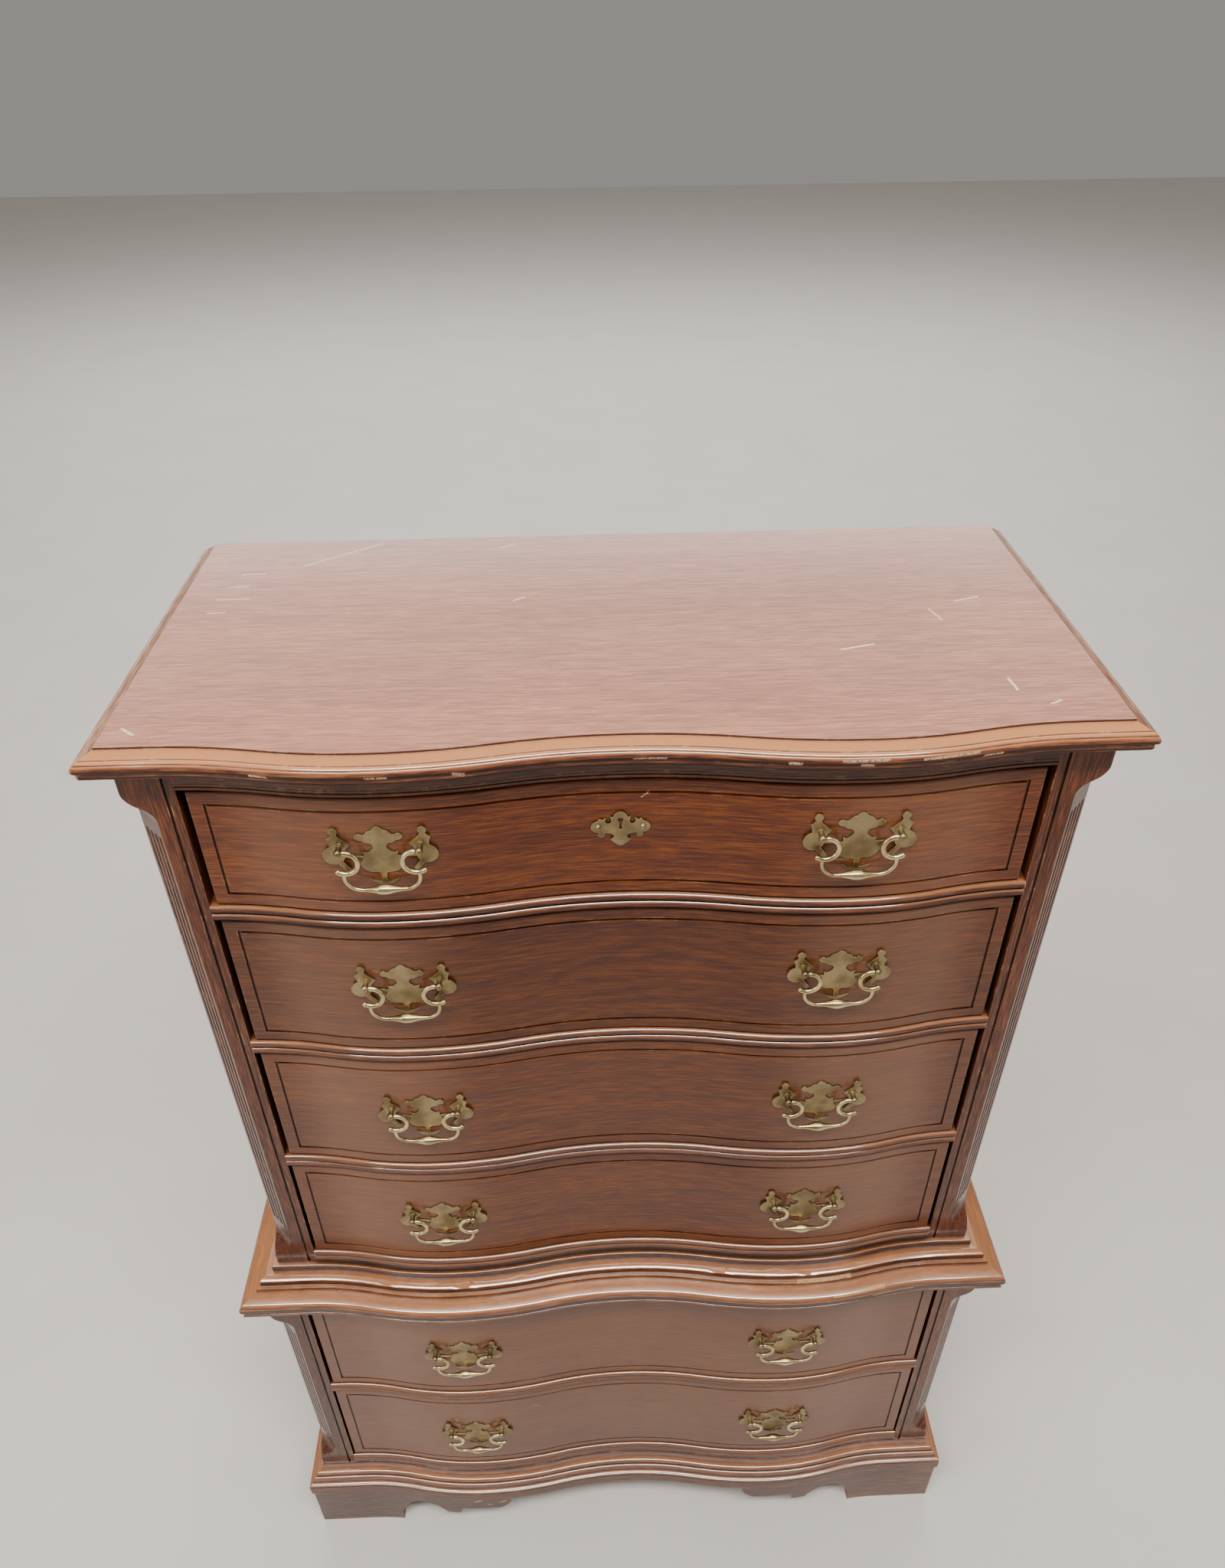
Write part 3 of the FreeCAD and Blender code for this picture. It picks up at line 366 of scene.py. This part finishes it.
def drawer_front(name, scale, swell_sheen, reflected_haze=0.0, figure=None):
    """Drawer front wood with painted reflection; swells is how pale its swelling parts are, film
    how hazy all of it is.
    """
    def laid(sheet, body):
        body = swell_reflection(swell_sheen, PALE_REFLECTION)(sheet, body)
        return reflection_haze(reflected_haze, PALE_REFLECTION)(sheet, body) if reflected_haze else body
    return mahogany(name, "x", skip="y", wear=0.35, reflection_veil=laid, figure=figure,
                    marks=drawer_marks, shade_and_grime_where=line_shade_and_grime,
                    **shades(scale, *RED_BROWN))


top_drawer = drawer_front("mahogany_top_drawer", 0.97, 0.24)
crown_drawer = drawer_front("mahogany_crown_drawer", 0.68, 0.24,
                            figure=crown_figure(0.03, 1.235, 0.17, 0.075))
middle_drawers = drawer_front("mahogany_middle_drawers", 0.84, 0.30, reflected_haze=0.06)
lower_drawers = drawer_front("mahogany_lower_drawers", 0.86, 0.14, reflected_haze=0.30)
# The rails, returns, mouldings and front top edge take painted light on faces that look up and
# painted shade on faces that look down.
case_across = mahogany("mahogany_rails", "x", tint(52, 22, 10), tint(86, 40, 17),
                       tint(116, 62, 32), skip="y", wear=0.9, coat=1.0, gloss=0.09,
                       painted_uplight=0.35, underside_shade=0.6, varnish=2.1)
case_depth = mahogany("mahogany_returns", "y", tint(70, 34, 18), tint(108, 60, 34),
                      tint(146, 92, 58), wear=0.8, coat=1.0, gloss=0.09, painted_uplight=0.4,
                      underside_shade=0.6, varnish=1.7)
case_upright = mahogany("mahogany_posts", "z", tint(56, 24, 12), tint(86, 43, 22),
                        tint(114, 64, 38), wear=0.5)
top_edge_sides = mahogany("mahogany_top_edge_sides", "y", tint(120, 78, 56), tint(160, 114, 88),
                          tint(190, 146, 118), wear=1.0)
mouldings = mahogany("mahogany_mouldings", "x", tint(60, 26, 11), tint(104, 52, 25),
                     tint(144, 84, 48), skip="y", wear=1.0, roughness=0.26, coat=1.0,
                     gloss=0.13, painted_uplight=0.45, underside_shade=0.8, shade_and_grime_span=(0.18, 0.46), varnish=2.2,
                     marks=waist_marks, scar=tint(224, 178, 120))
top_edge_front = mahogany("mahogany_top_edge_front", "x", tint(66, 28, 12), tint(110, 56, 28),
                          tint(150, 90, 52), skip="y", wear=1.0, roughness=0.30, coat=1.0,
                          gloss=0.13, painted_uplight=0.86, underside_shade=0.95, shade_and_grime_span=(0.12, 0.36), varnish=2.1,
                          marks=edge_marks, scar=tint(226, 190, 160))
foot_wood = mahogany("mahogany_feet", "x", tint(50, 24, 15), tint(82, 44, 27), tint(112, 68, 46),
                     skip="y", wear=0.9, marks=foot_marks)
# The top takes a painted reflection haze and painted shade on its upright faces.
top_wood = mahogany("mahogany_top", "x", tint(116, 57, 34), tint(156, 87, 58), tint(190, 120, 85),
                    skip="z", wear=0.5, upright_shade=0.9, reflection_veil=reflection_haze(0.25, tint(190, 132, 104)),
                    roughness=0.42, coat=0.85, marks=top_marks, scar=tint(255, 226, 196))


def plain_wood(name, axis, low, high, crosswise=None):
    """Plain boards; crosswise is the grain's axis on the boards that look to front or back."""
    sheet = Sheet(name)
    streaks = sheet.noise(grain_scale(axis, 3.0, 120.0), detail=5.0, roughness=0.6)
    if crosswise:
        across = sheet.noise(grain_scale(crosswise, 3.0, 120.0), detail=5.0, roughness=0.6)
        turned = sheet.facing("Y").absolute().between(0.4, 0.6)
        streaks = streaks * (1.0 - turned) + across * turned
    body = sheet.blend(streaks.between(0.3, 0.7), low, high)
    # Painted shade: the boards' corners and gaps are darkened by how enclosed they are.
    shade = sheet.shelter(0.02)
    body = sheet.blend(shade.between(0.5, 0.95) * 0.6, body, CORNER_SHADE)
    return sheet.finish(body, 0.62 + streaks * 0.1, streaks, depth=0.0002)


drawer_sides = plain_wood("poplar_drawer_sides", "y", tint(164, 132, 92), tint(206, 176, 132),
                          crosswise="x")
back_board = plain_wood("brown_back_panel", "z", tint(108, 78, 52), tint(146, 110, 76))


# ---------------------------------------------------------------- brass
RUBBED_RIM = tint(214, 196, 140)
RUB = 0.8
TARNISH = tint(46, 34, 18)


def brass(name, dark, bright, roughness):
    """Old brass: cloudy patina, tarnish in its corners, bright where it is rubbed."""
    sheet = Sheet(name)
    patina = sheet.noise((38.0, 38.0, 38.0), detail=3.0, roughness=0.5)
    fine = sheet.noise((500.0, 500.0, 500.0), detail=3.0)
    shade = sheet.shelter(0.006)
    body = sheet.blend(patina.between(0.30, 0.70), dark, bright)
    body = sheet.blend(fine.between(0.56, 0.70) * 0.35, body, dark)
    rim = sheet.edges(0.0009)
    body = sheet.blend((rim * RUB).held(), body, RUBBED_RIM)
    body = sheet.blend(shade.between(0.35, 0.85) * 0.85, body, TARNISH)
    return sheet.finish(body, roughness + patina * 0.12, patina * 0.6 + fine * 0.4,
                        depth=0.00008, soften=0.0004, Metallic=1.0)


plate_brass = brass("antiqued_brass_plates", tint(118, 102, 72), tint(170, 150, 114), 0.34)
bail_brass = brass("rubbed_brass_bails", tint(178, 158, 112), tint(232, 214, 168), 0.22)

# ---------------------------------------------------------------- finishes on the pieces
FINISHES = {
    "top_panel": top_wood,
    "top_moulding_front": top_edge_front,
    "top_moulding_returns": top_edge_sides,
    "waist_moulding_front": mouldings,
    "waist_moulding_returns": case_depth,
    "base_moulding_front": mouldings,
    "base_moulding_returns": case_depth,
    "front_foot_left": foot_wood,
    "front_foot_right": foot_wood,
    "back_feet": foot_wood,
    "drawer_runners": drawer_sides,
    "lower_bottom": drawer_sides,
    "upper_back": back_board,
    "lower_back": back_board,
    "drawer_1_front": top_drawer,
    "drawer_2_front": crown_drawer,
    "drawer_3_front": middle_drawers,
    "drawer_4_front": middle_drawers,
    "drawer_5_front": lower_drawers,
    "drawer_6_front": lower_drawers,
}
for case_part in ("side_left", "side_right", "post_left", "post_right"):
    FINISHES["upper_" + case_part] = case_upright
    FINISHES["lower_" + case_part] = case_upright
for number in range(1, 7):
    FINISHES[f"drawer_{number}_box"] = drawer_sides
    FINISHES[f"drawer_{number}_brass"] = plate_brass
    FINISHES[f"drawer_{number}_bail_left"] = bail_brass
    FINISHES[f"drawer_{number}_bail_right"] = bail_brass

# The rails, blades and deck are not in the table.
for node_name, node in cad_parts.items():
    node.data.materials.clear()
    node.data.materials.append(FINISHES.get(node_name, case_across))

# ---------------------------------------------------------------- floor, light and camera
REACH = 14.0
floor_mesh = bpy.data.meshes.new("floor")
floor_mesh.from_pydata([(-REACH, -REACH, 0), (REACH, -REACH, 0), (REACH, REACH, 0),
                        (-REACH, REACH, 0)], [], [(0, 1, 2, 3)])
floor = bpy.data.objects.new("floor", floor_mesh)
bpy.context.scene.collection.objects.link(floor)
floor_sheet = Sheet("pale_floor")
speckle = floor_sheet.noise((3.0, 3.0, 3.0), detail=6.0)
floor_tone = floor_sheet.blend(speckle, tint(214, 208, 199), tint(226, 221, 212))
floor_mesh.materials.append(floor_sheet.finish(floor_tone, 0.6))


def area_light(name, place, target, width, height, power, colour=(1.0, 1.0, 1.0)):
    """A soft light at place, turned to target; metres and watts."""
    lamp = bpy.data.lights.new(name, "AREA")
    lamp.shape = "RECTANGLE"
    lamp.size = width
    lamp.size_y = height
    lamp.energy = power
    lamp.color = colour
    holder = bpy.data.objects.new(name, lamp)
    holder.location = place
    holder.rotation_euler = (Vector(target) - Vector(place)).to_track_quat("-Z", "Y").to_euler()
    bpy.context.scene.collection.objects.link(holder)


area_light("ceiling_light", (0.0, -1.5, 4.0), (0.0, -0.2, 0.9), 3.0, 0.45, 146)
area_light("back_panel", (0.0, 2.9, 3.5), (0.0, 0.0, 1.5), 5.4, 2.8, 85, (1.0, 0.94, 0.90))
area_light("far_floor_light", (0.0, 6.0, 3.4), (0.0, 6.2, 0.0), 9.0, 4.0, 270)
area_light("left_window", (-3.2, -2.0, 2.4), (0.0, 0.0, 0.9), 1.6, 2.4, 56)
area_light("right_fill", (3.4, -1.6, 2.2), (0.0, 0.0, 0.9), 1.6, 2.4, 16)

world = bpy.data.worlds.new("studio")
bpy.context.scene.world = world
world.use_nodes = True
world.node_tree.nodes["Background"].inputs["Color"].default_value = (0.97, 0.93, 0.88, 1.0)
world.node_tree.nodes["Background"].inputs["Strength"].default_value = 0.30

FOCAL_PIXELS = 1450.4
FRAME_HEIGHT_PIXELS = 2048.0
CAMERA_PLACE = (-0.0302, -1.0176, 2.0909)
lens = bpy.data.cameras.new("view")
lens.sensor_fit = "VERTICAL"
lens.sensor_height = 36.0
lens.lens = FOCAL_PIXELS / FRAME_HEIGHT_PIXELS * lens.sensor_height
camera = bpy.data.objects.new("view", lens)
right = Vector((0.99933, -0.03501, -0.01025))
down = Vector((-0.02894, -0.58968, -0.80712))
ahead = Vector((0.02222, 0.80688, -0.5903))
turn = Matrix((right, -down, -ahead)).transposed().to_4x4()
camera.matrix_world = Matrix.Translation(CAMERA_PLACE) @ turn
bpy.context.scene.collection.objects.link(camera)
bpy.context.scene.camera = camera
